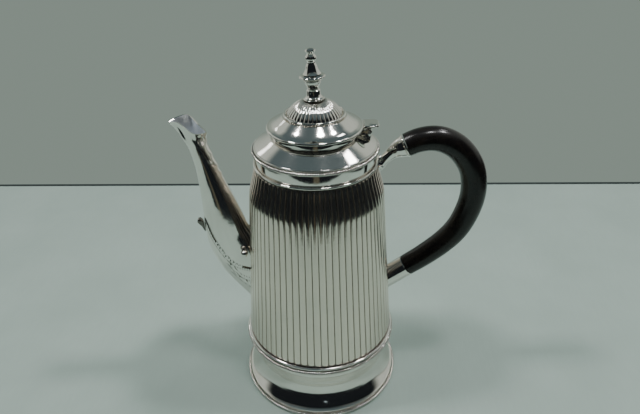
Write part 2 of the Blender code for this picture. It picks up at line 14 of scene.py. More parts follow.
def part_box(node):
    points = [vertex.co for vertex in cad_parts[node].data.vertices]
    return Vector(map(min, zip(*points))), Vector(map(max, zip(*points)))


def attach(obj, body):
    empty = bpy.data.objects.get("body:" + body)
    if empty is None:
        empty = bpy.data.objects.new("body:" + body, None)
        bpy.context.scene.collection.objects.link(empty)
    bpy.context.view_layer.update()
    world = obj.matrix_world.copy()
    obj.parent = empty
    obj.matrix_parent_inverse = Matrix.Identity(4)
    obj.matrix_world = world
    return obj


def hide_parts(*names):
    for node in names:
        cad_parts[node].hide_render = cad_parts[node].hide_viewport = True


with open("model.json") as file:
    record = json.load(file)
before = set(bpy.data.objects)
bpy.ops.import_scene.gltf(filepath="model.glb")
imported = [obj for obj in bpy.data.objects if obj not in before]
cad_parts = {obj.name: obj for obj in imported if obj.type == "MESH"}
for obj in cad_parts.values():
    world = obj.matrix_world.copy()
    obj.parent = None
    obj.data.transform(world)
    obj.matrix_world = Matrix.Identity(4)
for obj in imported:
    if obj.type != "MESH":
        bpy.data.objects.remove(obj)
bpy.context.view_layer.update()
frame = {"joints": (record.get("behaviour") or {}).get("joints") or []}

MM = 0.001
POT = "pot"
LID = "lid"


def middle_x(node):
    low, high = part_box(node)
    return (low.x + high.x) / 2


AXIS_X = middle_x("collar")


def turned_size(node):
    """(outer radius, bottom, top) of a turned CAD node, in mm."""
    low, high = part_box(node)
    return (high.y - low.y) / 2 / MM, low.z / MM, high.z / MM


HINGE = Vector(frame["joints"][0]["pos_m"]) - Vector((AXIS_X, 0.0, 0.0))
HINGE_X = HINGE.x / MM
HINGE_Z = HINGE.z / MM

# ---------------------------------------------------------------- shapes' dimensions, in mm

TURN = 192                    # segments round a large plain ring
SMALL_TURN = 96               # segments round the lid's small pieces
SOFT = 0.25                   # radius that a polished edge is worn to
WORN = 0.15                   # the same, on thin sheet
POT_SHEET = 1.2               # thickness of the foot, body and collar
LID_SHEET = 1.0               # thickness of the shoulder, neck and lid

ROPE_STEPS = 6                # stations along a twisted wire for each strand
ROPE_SIDES = 14
ROPE_DEPTH = 0.46             # a groove's depth, as a share of the wire's radius
ROPE_GRIME = 0.6              # how gently the grooves' tarnish fades
MOULDING_LAND = 0.3
MOULDING_BULGE = 1.2

BODY_START_R = 51.5
BODY_START = 44.3
BODY_TAPER = 0.0719
BODY_TURN_IN_START = 150.0
BODY_TURN_IN = 3.2
PLAIN_BAND_R = 50.9           # where the body stands on the foot
FOOT_FLANGE_R = 45.0          # inner radius of the foot's top
FOOT_COVE = [(PLAIN_BAND_R, 34.2), (49.2, 30.6), (47.9, 26.6), (47.0, 22.6), (46.6, 19.4),
             (47.1, 15.6), (48.6, 12.2), (50.3, 9.4), (52.1, 7.0), (53.5, 5.5), (54.7, 4.6)]
FOOT_COVE_DROP = 0.6          # how far the cove's inside lies below its outside
FOOT_REST = 2.3               # width of the rest face
FOOT_REST_TOP = 3.0
FOOT_LINES = [32.2, 26.6, 25.4, 24.2]    # heights of the fine turned lines in the cove
FOOT_LINE_DEPTH = 0.14
FOOT_LINE_HALF = 0.3          # half width of a turned line
REEDS = 68
REED_STEPS = 12
REED_DEPTH = 0.62
REED_POWER = 3.2              # how flat a reed's middle is
REED_END = 2.4                # the length over which a reed's end rounds off

SHOULDER_COVE = [(27.9, 190.6), (30.5, 189.0), (34.0, 187.0), (37.4, 185.1)]
SHOULDER_INNER_R = 36.3

LID_RIM_TOP = 197.4
LID_RIM_HALF = 1.0            # half width of the rolled rim
LID_HOLE_R = 15.6
LID_SLOPE = [(19.3, 203.0), (21.0, 201.75), (22.7, 200.5), (24.5, 199.15), (26.2, 198.1),
             (27.9, 197.5)]
BEZEL_GAP = 0.3
BEZEL_SHEET = 0.9

DOME_CENTRE_Z = 200.6
DOME_R = 17.5
DOME_RISE = 13.05
DOME_REEDS = 38
DOME_REED_STEPS = 10
DOME_REED_DEPTH = 0.62
DOME_REED_END = 1.6
STUD_BORE_R = 1.4             # the hole for the finial's stud

FINIAL_LEAN = radians(-3.0)

KNUCKLE_R = 1.9
BRACKET_HALF = 2.0            # half width of the thumbpiece's bracket
THUMB_UNDER, THUMB_TOP = 195.8, 197.3
THUMB_CORNER = 3.4
THUMB_ROOT_R = 30.1           # the thumb plate's inner edge is an arc about the pot's axis

SPOUT_OUTER = [(-46.5, 63.0), (-59.4, 80.6), (-67.9, 94.6), (-73.4, 110.0), (-75.2, 124.0),
               (-75.1, 140.0), (-75.1, 155.0), (-75.9, 172.0), (-78.4, 185.4), (-82.6, 193.8),
               (-88.3, 201.2)]
SPOUT_INNER = [(-27.0, 100.0), (-33.5, 110.5), (-40.5, 118.6), (-46.0, 125.4), (-48.9, 133.4),
               (-53.3, 146.4), (-57.3, 157.2), (-62.5, 172.4), (-66.0, 183.6), (-66.9, 189.0),
               (-65.7, 193.6)]
SPOUT_HALF_WIDTH = [10.0, 10.0, 10.0, 9.9, 9.7, 9.0, 8.2, 7.5, 7.8, 8.6, 9.7]
MOUTH_START = 0.84            # share of the spout's length where the beaked mouth begins
MOUTH_SADDLE = 4.8            # how far the mouth's sides rise
MOUTH_BEAK = 0.36             # how much the mouth narrows towards its tip
MOUTH_POINT = 0.8             # how pointed the mouth's ends are
SPOUT_WALL = 1.1
SPOUT_STATIONS = 200
SPOUT_SIDES = 120
LEAF_WIDTH = 0.75             # half width of a chased leaf edge
LEAF_TOP = 140.0              # the chasing stays below this height
GRIME_WIDTH = 0.45            # half width of the tarnish beside a leaf edge
SERRATED_FROM, SERRATED_TO = 0.42, 0.92    # the serrated share of the first leaf edge
SERRATIONS = 22               # notches over the whole of that edge
SPOUT_LEAVES = [([(-76.0, 136.4), (-73.4, 133.0), (-70.3, 123.4), (-66.0, 113.6), (-61.7, 106.0),
                  (-55.9, 99.9), (-47.0, 96.6)], 0.95, True),
                ([(-62.5, 102.8), (-59.9, 100.0), (-55.3, 91.7), (-46.5, 87.0)], 0.7, False),
                ([(-60.2, 95.0), (-58.0, 92.4), (-53.6, 87.0), (-47.0, 81.0)], 0.6, False)]
SPOUT_BEADS = [(-66.5, 188.6, 1.5), (-64.3, 180.2, 1.7), (-61.9, 172.3, 1.7), (-60.2, 166.4, 1.3)]
SPOUT_BEAD_RISE = 0.55
SCROLL = [(-76.0, 128.4), (-76.4, 131.0), (-77.9, 132.6), (-79.6, 132.2), (-80.0, 130.4),
          (-78.9, 128.9), (-77.3, 127.0), (-76.2, 124.2), (-75.6, 122.6)]
SCROLL_HALF = 1.7             # half width of the scroll
BOSS_SIDES = 40

HANDLE_R = 7.35
HANDLE_SWELL = 0.95
GRIP_LINE = [(56.3, 181.6), (64.2, 184.8), (72.5, 185.8), (80.3, 184.2), (88.5, 179.4),
             (95.4, 171.6), (100.3, 161.5), (102.3, 147.5), (100.2, 133.5), (94.4, 119.0),
             (85.2, 107.6), (72.8, 97.0), (61.5, 88.9)]
GRIP_STATIONS = 110
GRIP_SIDES = 48
GRIP_GAP = 0.3                # between the grip and each socket
GRIP_CHAMFER = 0.4
UPPER_SOCKET_LINE = [(36.0, 166.0), (39.5, 169.0), (43.4, 172.6), (47.7, 176.6), (51.9, 179.5)]
UPPER_SOCKET_RADII = [4.2, 4.2, 3.3, 4.1, 6.0, HANDLE_R]
UPPER_SOCKET_STATIONS = 96
SOCKET_RIM = 0.7              # half the width of the raised rim at the grip
SOCKET_RIM_RISE = 0.5
LOWER_SOCKET_STEPS = (22.0, 14.0, 8.0, 0.4)    # distances from the grip's end
LOWER_SOCKET_CHAMFER = 0.3
SOCKET_BEADS = [((40.1, 0.0, 173.2), 2.1), ((40.5, -3.9, 168.9), 1.3), ((40.5, 3.9, 168.9), 1.3)]


# ---------------------------------------------------------------- mesh helpers

def smoothstep(t):
    t = min(max(t, 0.0), 1.0)
    return t * t * (3 - 2 * t)


def catmull_rom(points, count):
    """A smooth curve through the given points, sampled at count + 1 even parameters."""
    points = [Vector(p) for p in points]
    padded = [2 * points[0] - points[1]] + points + [2 * points[-1] - points[-2]]
    spans = len(points) - 1
    curve = []
    for i in range(count + 1):
        u = spans * i / count
        k = min(int(u), spans - 1)
        t = u - k
        a, b, c, d = padded[k:k + 4]
        curve.append(0.5 * (2 * b + (c - a) * t + (2 * a - 5 * b + 4 * c - d) * t * t
                            + (3 * b - a - 3 * c + d) * t ** 3))
    return curve


def arc(centre_r, centre_z, radius_r, radius_z, start, end, count):
    points = []
    for i in range(count + 1):
        a = radians(start + (end - start) * i / count)
        points.append((centre_r + radius_r * cos(a), centre_z + radius_z * sin(a)))
    return points


def softened(points, radius=SOFT, closed=True, steps=3):
    """The same outline with its sharp corners worn to a small curve."""
    points = [Vector(p) for p in points]
    count = len(points)
    result = []
    for i, corner in enumerate(points):
        if not closed and i in (0, count - 1):
            result.append(tuple(corner))
            continue
        before = points[i - 1] - corner
        after = points[(i + 1) % count] - corner
        if before.length < 1e-6 or after.length < 1e-6:
            continue
        turn = pi - before.angle(after)
        if turn < radians(12):
            result.append(tuple(corner))
            continue
        trim = min(radius, 0.45 * before.length, 0.45 * after.length)
        start = corner + before.normalized() * trim
        end = corner + after.normalized() * trim
        for k in range(steps + 1):
            t = k / steps
            p = start * (1 - t) ** 2 + corner * 2 * t * (1 - t) + end * t * t
            result.append(tuple(p))
    return result


def new_piece(name, vertices, faces, material, body, stands_for=(), recess=None, sharp=35):
    """A mesh piece from points in mm about the pot's axis, riding on a body."""
    mesh = bpy.data.meshes.new(name)
    mesh.from_pydata([tuple(c * MM for c in v) for v in vertices], [], faces)
    if recess is not None:
        layer = mesh.attributes.new("recess", "FLOAT", "POINT")
        layer.data.foreach_set("value", recess)
    bm = bmesh.new()
    bm.from_mesh(mesh)
    bmesh.ops.recalc_face_normals(bm, faces=bm.faces)
    bm.to_mesh(mesh)
    bm.free()
    return finish_piece(name, mesh, material, body, stands_for, sharp)


def add_object(name, data):
    obj = bpy.data.objects.new(name, data)
    bpy.context.scene.collection.objects.link(obj)
    return obj


def finish_piece(name, mesh, material, body, stands_for, sharp):
    """Put the mesh on the pot's axis, riding on a body and standing for CAD nodes."""
    obj = add_object(name, mesh)
    obj.location = (AXIS_X, 0.0, 0.0)
    mesh.shade_smooth()
    mesh.set_sharp_from_angle(angle=radians(sharp))
    mesh.materials.append(material)
    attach(obj, body)
    if stands_for:
        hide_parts(*stands_for)
    return obj


def grid_faces(rows, columns, wrap_rows):
    """Quads over rows of points that each close on themselves."""
    faces = []
    for i in range(rows if wrap_rows else rows - 1):
        k = (i + 1) % rows
        for j in range(columns):
            n = (j + 1) % columns
            faces.append((i * columns + j, i * columns + n, k * columns + n, k * columns + j))
    return faces


def lathe_points(profile, segments):
    vertices = []
    for r, z in profile:
        for j in range(segments):
            a = 2 * pi * j / segments
            vertices.append((r * cos(a), r * sin(a), z))
    return vertices


def lathe(name, profile, material, body, segments=TURN):
    """A ring turned about the pot's axis from a closed (r, z) outline."""
    faces = grid_faces(len(profile), segments, True)
    return new_piece(name, lathe_points(profile, segments), faces, material, body,
                     (name.removesuffix("_look"),))


def solid_lathe(name, profile, material, body):
    """A turned solid whose outline starts and ends on the axis."""
    inner = profile[1:-1]
    vertices = lathe_points(inner, SMALL_TURN)
    top = len(vertices)
    vertices += [(0.0, 0.0, profile[0][1]), (0.0, 0.0, profile[-1][1])]
    faces = grid_faces(len(inner), SMALL_TURN, False)
    last = (len(inner) - 1) * SMALL_TURN
    for j in range(SMALL_TURN):
        n = (j + 1) % SMALL_TURN
        faces.append((top, n, j))
        faces.append((top + 1, last + j, last + n))
    return new_piece(name, vertices, faces, material, body, (name.removesuffix("_look"),))


def bead(name, material, body):
    """A round ring in the place of a CAD bead."""
    outer_r, bottom, top = turned_size(name.removesuffix("_look"))
    half = (top - bottom) / 2
    lathe(name, arc(outer_r - half, bottom + half, half, half, 90, -252, 18), material, body)


def slab(name, corners, travel, bevel, material, body, stands_for):
    """A flat outline of 3-D corners, swept by a vector, with rounded edges."""
    bm = bmesh.new()
    face = bm.faces.new([bm.verts.new([c * MM for c in corner]) for corner in corners])
    moved = bmesh.ops.extrude_face_region(bm, geom=[face])
    verts = [v for v in moved["geom"] if isinstance(v, bmesh.types.BMVert)]
    bmesh.ops.translate(bm, verts=verts, vec=[t * MM for t in travel])
    bmesh.ops.recalc_face_normals(bm, faces=bm.faces)
    rims = [e for e in bm.edges if e.calc_face_angle(0) > radians(50)]
    bmesh.ops.bevel(bm, geom=rims, offset=bevel * MM, segments=3, affect="EDGES", profile=0.5,
                    clamp_overlap=True)
    mesh = bpy.data.meshes.new(name)
    bm.to_mesh(mesh)
    bm.free()
    finish_piece(name, mesh, material, body, stands_for, 40)


def extruded(name, outline, low, high, bevel, material, body, stands_for):
    """A slab from an (x, z) outline, along Y from low to high."""
    corners = [(x, low, z) for x, z in outline]
    slab(name, corners, (0.0, high - low, 0.0), bevel, material, body, stands_for)


# ---------------------------------------------------------------- materials

class Nodes:
    """A new material, with short ways to add and link its shader nodes."""

    def __init__(self, name):
        self.material = bpy.data.materials.new(name)
        self.material.use_nodes = True
        self.tree = self.material.node_tree
        self.shader = self.tree.nodes["Principled BSDF"]

    def add(self, kind, **settings):
        node = self.tree.nodes.new("ShaderNode" + kind)
        for key, value in settings.items():
            setattr(node, key, value)
        return node

    def link(self, output, target):
        self.tree.links.new(output, target)

    def coordinates(self, scale=(1.0, 1.0, 1.0)):
        """The piece's own coordinates in mm."""
        source = self.add("TexCoord")
        mapping = self.add("Mapping")
        mapping.inputs["Scale"].default_value = [s / MM for s in scale]
        self.link(source.outputs["Object"], mapping.inputs["Vector"])
        return mapping.outputs["Vector"]

    def noise(self, vector, scale, detail=3.0, roughness=0.55):
        node = self.add("TexNoise")
        node.inputs["Scale"].default_value = scale
        node.inputs["Detail"].default_value = detail
        node.inputs["Roughness"].default_value = roughness
        self.link(vector, node.inputs["Vector"])
        return node.outputs["Fac"]

    def remap(self, value, low, high, to_low=0.0, to_high=1.0):
        node = self.add("MapRange")
        node.inputs["From Min"].default_value = low
        node.inputs["From Max"].default_value = high
        node.inputs["To Min"].default_value = to_low
        node.inputs["To Max"].default_value = to_high
        self.link(value, node.inputs["Value"])
        return node.outputs["Result"]

    def math(self, operation, a, b):
        node = self.add("Math", operation=operation)
        for socket, value in zip(node.inputs, (a, b)):
            if isinstance(value, (int, float)):
                socket.default_value = value
            else:
                self.link(value, socket)
        return node.outputs["Value"]

    def mix(self, factor, a, b):
        node = self.add("Mix", data_type="RGBA")
        for name, value in (("Factor", factor), ("A", a), ("B", b)):
            socket = next(s for s in node.inputs if s.name == name and s.enabled)
            if isinstance(value, (tuple, list)):
                socket.default_value = (*value, 1.0)
            elif isinstance(value, (int, float)):
                socket.default_value = value
            else:
                self.link(value, socket)
        return next(s for s in node.outputs if s.enabled)

    def bump(self, height, distance, strength, normal=None):
        node = self.add("Bump")
        node.inputs["Strength"].default_value = strength
        node.inputs["Distance"].default_value = distance * MM
        self.link(height, node.inputs["Height"])
        if normal:
            self.link(normal, node.inputs["Normal"])
        return node.outputs["Normal"]


SILVER = (0.90, 0.87, 0.82)
WARM_SILVER = (0.89, 0.80, 0.70)
UNPOLISHED_SILVER = (0.80, 0.84, 0.88)
# painted shade: nearly black silver for the spout's scroll, standing in for the shade that
# darkens it
CURL_SHADE_COLOUR = (0.13, 0.12, 0.11)
TARNISH = (0.10, 0.085, 0.065)
DULL = (0.70, 0.67, 0.60)


def silver_material(name, roughness=0.07, tarnish=1.0, tint=SILVER):
    """Polished silver plate: fine scratches, faint dulling, and tarnish left in recesses."""
    n = Nodes(name)
    place = n.coordinates()
    cloud = n.noise(place, 0.045, 4.0)
    grime = n.noise(place, 0.9, 5.0, 0.65)
    scratches = n.noise(n.coordinates((0.5, 0.5, 6.0)), 1.1, 6.0, 0.7)
    recess = n.add("Attribute")
    recess.attribute_name = "recess"
    depth = n.remap(recess.outputs["Fac"], 0.35, 0.95)
    dirt = n.math("MULTIPLY", depth, n.remap(grime, 0.2, 0.6, 0.55, 1.0))
    dirt = n.math("MULTIPLY", dirt, tarnish)
    dulled = n.mix(n.remap(cloud, 0.45, 0.75, 0.0, 0.35), tint, DULL)
    n.link(n.mix(dirt, dulled, TARNISH), n.shader.inputs["Base Color"])
    wear = n.remap(scratches, 0.35, 0.7, roughness * 0.75, roughness * 1.5)
    blotches = n.remap(cloud, 0.4, 0.7, 0.0, 0.05)
    total = n.math("ADD", n.math("ADD", wear, blotches), n.math("MULTIPLY", dirt, 0.25))
    n.link(total, n.shader.inputs["Roughness"])
    fine = n.bump(scratches, 0.006, 0.5)
    n.link(n.bump(cloud, 0.25, 0.5, fine), n.shader.inputs["Normal"])
    n.shader.inputs["Metallic"].default_value = 1.0
    return n.material


def ebony_material():
    """Black stained wood under a thick polish, with a faint grain and hairline marks."""
    n = Nodes("ebonised_wood")
    grain = n.noise(n.coordinates((1.0, 3.0, 1.0)), 0.16, 5.0, 0.6)
    haze = n.noise(n.coordinates(), 0.05, 3.0)
    marks = n.noise(n.coordinates((0.4, 4.0, 2.0)), 1.4, 4.0, 0.7)
    n.link(n.mix(n.remap(grain, 0.4, 0.7), (0.010, 0.009, 0.009), (0.020, 0.016, 0.013)),
           n.shader.inputs["Base Color"])
    n.link(n.math("ADD", n.remap(haze, 0.35, 0.7, 0.20, 0.32),
                  n.remap(marks, 0.55, 0.8, 0.0, 0.08)), n.shader.inputs["Roughness"])
    n.link(n.bump(grain, 0.05, 0.25), n.shader.inputs["Normal"])
    n.shader.inputs["Specular IOR Level"].default_value = 0.35
    n.shader.inputs["Coat Weight"].default_value = 0.16
    n.shader.inputs["Coat Roughness"].default_value = 0.12
    return n.material


def plain_metal(name, light, dark, roughness):
    """Filed pin or brass fitting: brushed, with a little dirt."""
    n = Nodes(name)
    place = n.coordinates((1.0, 1.0, 4.0))
    brushed = n.noise(place, 1.6, 4.0)
    n.link(n.mix(n.remap(brushed, 0.4, 0.7), light, dark), n.shader.inputs["Base Color"])
    n.link(n.remap(brushed, 0.3, 0.7, roughness * 0.8, roughness * 1.4),
           n.shader.inputs["Roughness"])
    n.link(n.bump(brushed, 0.02, 0.5), n.shader.inputs["Normal"])
    n.shader.inputs["Metallic"].default_value = 1.0
    return n.material


# ---------------------------------------------------------------- foot and lower rings

def make_foot(silver):
    """Hollow cove that flares to a flat rest, with fine turned lines cut into it."""
    edge_r, bottom, top = turned_size("foot")
    cove = []
    for r, z in catmull_rom(FOOT_COVE, 90):
        near_line = min(abs(z - line) for line in FOOT_LINES)
        cove.append((r - FOOT_LINE_DEPTH * max(0.0, 1 - near_line / FOOT_LINE_HALF), z))
    outer = softened([(FOOT_FLANGE_R, top), (PLAIN_BAND_R, top), *cove, (edge_r, bottom)],
                     closed=False)
    inner = [(edge_r - FOOT_REST, 0.0), (edge_r - FOOT_REST, FOOT_REST_TOP),
             *[(r - POT_SHEET, z - FOOT_COVE_DROP) for r, z in cove[::-1]],
             (PLAIN_BAND_R - POT_SHEET - 0.4, top - POT_SHEET), (FOOT_FLANGE_R, top - POT_SHEET)]
    lathe("foot_look", [*outer, *inner], silver, POT)


def twisted_wire(name, node, strands, material):
    """A round wire twisted like rope, in the place of a plain CAD ring."""
    outer_r, bottom, top = turned_size(node)
    half = (top - bottom) / 2
    ring_r = outer_r - half
    middle = (top + bottom) / 2
    around = strands * ROPE_STEPS
    vertices, recess = [], []
    for i in range(around):
        a = 2 * pi * i / around
        for j in range(ROPE_SIDES):
            b = 2 * pi * j / ROPE_SIDES
            strand = abs(cos(b + a * strands / 2))
            radius = half * (1 - ROPE_DEPTH * (1 - strand))
            r = ring_r + radius * cos(b)
            vertices.append((r * cos(a), r * sin(a), middle + radius * sin(b)))
            recess.append((1 - strand) ** ROPE_GRIME)
    faces = grid_faces(around, ROPE_SIDES, True)
    new_piece(name, vertices, faces, material, POT, (node,), recess, 60)


def make_lower_rings(silver):
    twisted_wire("foot_rope_look", "foot_rope", 214, silver)
    twisted_wire("body_rope_look", "body_rope", 206, silver)
    outer_r, bottom, top = turned_size("base_moulding")
    inside = outer_r - MOULDING_LAND - MOULDING_BULGE
    half = (top - bottom) / 2
    bulge = arc(inside + MOULDING_LAND, bottom + half, MOULDING_BULGE, half, 90, -90, 14)
    lathe("base_moulding_look", [(inside, top), *bulge, (inside, bottom)], silver, POT)


# ---------------------------------------------------------------- reeded body

def body_radius(z):
    taper = BODY_START_R - (z - BODY_START) * BODY_TAPER
    _, _, top = turned_size("body")
    turn_in = smoothstep((z - BODY_TURN_IN_START) / (top - BODY_TURN_IN_START))
    return taper - BODY_TURN_IN * turn_in


def reed_height(u, end):
    """How far a reed stands up, 0 to 1: u is -1 to 1 across it, end is 0 to 1 over its tip."""
    tip = 1 - end * end - 0.35 * u * u * end
    return (1 - abs(u) ** REED_POWER) * sqrt(max(tip, 0.0))


def reeded_rows(rows, reeds, steps, depth_of):
    """Points and recess values for rows of (radius, z, end) with reeds standing on them."""
    vertices, recess = [], []
    columns = reeds * steps
    for radius, z, end in rows:
        depth = depth_of(radius)
        for j in range(columns):
            a = 2 * pi * j / columns
            u = 2 * (j % steps) / steps - 1
            height = reed_height(u, end)
            r = radius - depth * (1 - height)
            vertices.append((r * cos(a), r * sin(a), z))
            recess.append(1 - height)
    return vertices, recess


def make_body(silver):
    """The tapering wall, with convex reeds between the base moulding and the collar bead."""
    _, bottom, top = turned_size("body")
    low_end, high_end = BODY_START + 0.2, top - 0.3
    ends = [i / 8 for i in range(9)]
    heights = [*[70 + 20 * i for i in range(5)], *[152 + 1.6 * i for i in range(11)]]
    band_r = PLAIN_BAND_R + REED_DEPTH
    rows = [(band_r, bottom, 1.0), (band_r, BODY_START - 0.6, 1.0)]
    rows += [(body_radius(low_end), low_end + REED_END * (1 - e), e) for e in ends[::-1]]
    rows += [(body_radius(z), z, 0.0) for z in heights if z < high_end - REED_END - 0.5]
    rows += [(body_radius(high_end - REED_END * (1 - e)), high_end - REED_END * (1 - e), e)
             for e in ends]
    rows.append((body_radius(top), top, 1.0))
    vertices, recess = reeded_rows(rows, REEDS, REED_STEPS, lambda r: REED_DEPTH)
    columns = REEDS * REED_STEPS
    inner = [(body_radius(z) - POT_SHEET, z)
             for z in (top, 160.0, BODY_TURN_IN_START, 100.0, BODY_START)]
    inner.append((PLAIN_BAND_R - POT_SHEET, bottom))
    vertices += lathe_points(inner, columns)
    recess += [0.3] * (len(inner) * columns)
    faces = grid_faces(len(rows) + len(inner), columns, True)
    new_piece("body_look", vertices, faces, silver, POT, ("body",), recess, 50)


# ---------------------------------------------------------------- collar, shoulder and neck

def make_collar(silver):
    outer_r, bottom, top = turned_size("collar")
    inner = outer_r - POT_SHEET
    lathe("collar_look", softened([(inner, top), (outer_r, top), (outer_r, bottom),
                                   (inner, bottom)]), silver, POT)
    bead("collar_bead_look", silver, POT)
    twisted_wire("shoulder_rope_look", "shoulder_rope", 170, silver)


def make_shoulder(silver):
    """Sloping coved shoulder with a worn rim, and the upright neck."""
    outer_r, bottom, top = turned_size("shoulder")
    neck_r, neck_low, neck_top = turned_size("neck")
    hole = neck_r - LID_SHEET
    cove = [tuple(p) for p in catmull_rom(SHOULDER_COVE, 24)]
    rim = [(38.0, 184.95), (outer_r, 184.6)]
    outer = [(hole, top), (27.2, top), *cove, *rim, (outer_r, bottom)]
    inner = [(SHOULDER_INNER_R, bottom), (SHOULDER_INNER_R, 184.4),
             *[(r - 0.2, z - LID_SHEET) for r, z in cove[-7::-6]], (hole, 189.8)]
    lathe("shoulder_look", softened([*outer, *inner], WORN), silver, POT)
    lathe("neck_look", softened([(hole, neck_top), (neck_r, neck_top), (neck_r, neck_low),
                                 (hole, neck_low)]), silver, POT)


# ---------------------------------------------------------------- lid

def make_lid(silver):
    """Rolled rim, slope rising to the dome's seat, the bezel below and the bead above."""
    flange_r, bottom, top = turned_size("lid")
    rim = arc(flange_r - LID_RIM_HALF, (bottom + LID_RIM_TOP) / 2, LID_RIM_HALF,
              (LID_RIM_TOP - bottom) / 2, 80, -90, 14)
    slope = [tuple(p) for p in catmull_rom(LID_SLOPE, 40)]
    under_seat = LID_SLOPE[0][1] - LID_SHEET
    bezel_r, bezel_low, bezel_top = turned_size("lid_bezel")
    bore = bezel_r + BEZEL_GAP
    inner = [(bore, bottom), (bore, 198.1), (18.8, under_seat), (LID_HOLE_R, under_seat)]
    lathe("lid_look", softened([(LID_HOLE_R, top), *slope, *rim, *inner], WORN), silver, LID)
    bezel_bore = bezel_r - BEZEL_SHEET
    lathe("lid_bezel_look", softened([(bezel_bore, bezel_top), (bezel_r, bezel_top),
                                      (bezel_r, bezel_low), (bezel_bore, bezel_low)]),
          silver, LID, segments=SMALL_TURN)
    bead("lid_bead_look", silver, LID)


def make_dome(silver):
    """The reeded dome; its reeds narrow to the crown that carries the finial."""
    _, bottom, crown = turned_size("lid_dome")
    crown_r = DOME_R * sqrt(1 - ((crown - DOME_CENTRE_Z) / DOME_RISE) ** 2)
    start = degrees(asin((bottom - DOME_CENTRE_Z) / DOME_RISE))
    end = degrees(asin((crown - DOME_CENTRE_Z) / DOME_RISE))
    path = arc(0, DOME_CENTRE_Z, DOME_R, DOME_RISE, start, end, 30)
    rows = [(r, z, max(0.0, 1 - (r - crown_r) / DOME_REED_END)) for r, z in path]
    vertices, recess = reeded_rows(rows, DOME_REEDS, DOME_REED_STEPS,
                                   lambda r: DOME_REED_DEPTH * (0.25 + 0.75 * r / DOME_R))
    columns = DOME_REEDS * DOME_REED_STEPS
    inside = arc(0, DOME_CENTRE_Z, DOME_R - 1.3, DOME_RISE - 1.2, end, start + 1, 12)
    inner = [(STUD_BORE_R, crown), (STUD_BORE_R, crown - 1.0), *inside[1:]]
    vertices += lathe_points(inner, columns)
    recess += [0.2] * (len(inner) * columns)
    faces = grid_faces(len(rows) + len(inner), columns, True)
    new_piece("lid_dome_look", vertices, faces, silver, LID, ("lid_dome",), recess, 50)
    return crown


def make_finial(silver, crown):
    """Base, disc and spire, turned together and leaning a little towards the spout."""
    seat = Vector((AXIS_X, 0.0, crown * MM))
    lean = Matrix.Translation(seat) @ Matrix.Rotation(FINIAL_LEAN, 4, "Y")
    bore = STUD_BORE_R
    base = [(bore, 12.9), (4.3, 12.9), *arc(4.3, 12.1, 0.85, 0.8, 80, -50, 8), (4.7, 10.4),
            (4.1, 8.9), (3.6, 7.6), (3.25, 6.95), (3.7, 6.6), (4.15, 6.2), (4.1, 5.0), (4.1, 3.6),
            (4.4, 2.8), (4.9, 2.1), (5.6, 1.65), (6.3, 1.35), (6.45, 1.05), (6.3, 0.75),
            (bore, 0.75)]
    disc = [(bore, 15.6), (5.2, 15.6), (6.6, 15.3), (7.55, 14.85), (7.8, 14.35), (7.55, 13.8),
            (6.2, 13.4), (4.4, 13.2), (bore, 13.2)]
    spire = [(0, 30.6), (1.2, 30.5), (2.2, 30.15), (2.9, 29.7), (3.1, 29.2), (2.9, 28.6),
             (2.4, 27.9), (2.15, 27.4), (2.4, 26.9), (3.0, 26.2), (3.3, 25.4), (3.3, 24.5),
             (2.9, 23.7), (2.5, 23.1), (2.35, 22.6), (2.5, 22.0), (3.0, 21.2), (3.3, 20.2),
             (3.6, 19.0), (4.1, 17.8), (4.7, 16.8), (5.4, 15.9), (bore, 15.9), (bore, 20.0),
             (0, 20.3)]
    pieces = [lathe("finial_base_look", softened(base), silver, LID, segments=SMALL_TURN),
              lathe("finial_disc_look", softened(disc), silver, LID, segments=SMALL_TURN),
              solid_lathe("finial_spire_look", spire, silver, LID)]
    for piece in pieces:
        piece.matrix_world = lean


# ---------------------------------------------------------------- hinge

def make_hinge(silver):
    """The pot's two knuckles, each with the strut that holds it to the neck."""
    low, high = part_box("hinge_knuckle_back")
    near, far = low.y / MM, high.y / MM
    knuckle = arc(HINGE_X, HINGE_Z, KNUCKLE_R, KNUCKLE_R, 128, -60, 16)
    outline = [(27.1, 194.5), *knuckle, (33.7, 190.4), (33.6, 189.0), (33.5, 187.4),
               (31.2, 188.8), (30.7, 190.2), (30.1, 191.1), (28.9, 191.7), (27.1, 191.8)]
    extruded("hinge_knuckle_back_look", outline, near, far, 0.3, silver, POT,
             ("hinge_knuckle_back",))
    extruded("hinge_knuckle_front_look", outline, -far, -near, 0.3, silver, POT,
             ("hinge_knuckle_front",))


def make_thumbpiece(silver):
    """Thumb plate with rounded corners, and the bracket under it with the lid's knuckle."""
    _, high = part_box("thumbpiece")
    half = high.y / MM
    tip = (high.x - AXIS_X) / MM
    corner = THUMB_CORNER
    spread = degrees(asin(half / THUMB_ROOT_R))
    outline = [*arc(tip - corner, -half + corner, corner, corner, -90, 0, 8),
               *arc(tip - corner, half - corner, corner, corner, 0, 90, 8),
               *arc(0, 0, THUMB_ROOT_R, THUMB_ROOT_R, spread, -spread, 10)]
    slab("thumbpiece_look", [(x, y, THUMB_UNDER) for x, y in outline],
         (0.0, 0.0, THUMB_TOP - THUMB_UNDER), 0.45, silver, LID, ("thumbpiece",))
    knuckle = arc(HINGE_X, HINGE_Z, KNUCKLE_R, KNUCKLE_R, 150, 380, 18)
    bracket = [(30.4, 196.4), (30.5, 194.8), *knuckle, (35.1, 194.7), (36.5, 195.5),
               (37.9, 196.0), (37.9, 196.4)]
    extruded("thumb_bracket_look", bracket, -BRACKET_HALF, BRACKET_HALF, 0.25, silver, LID, ())


# ---------------------------------------------------------------- spout

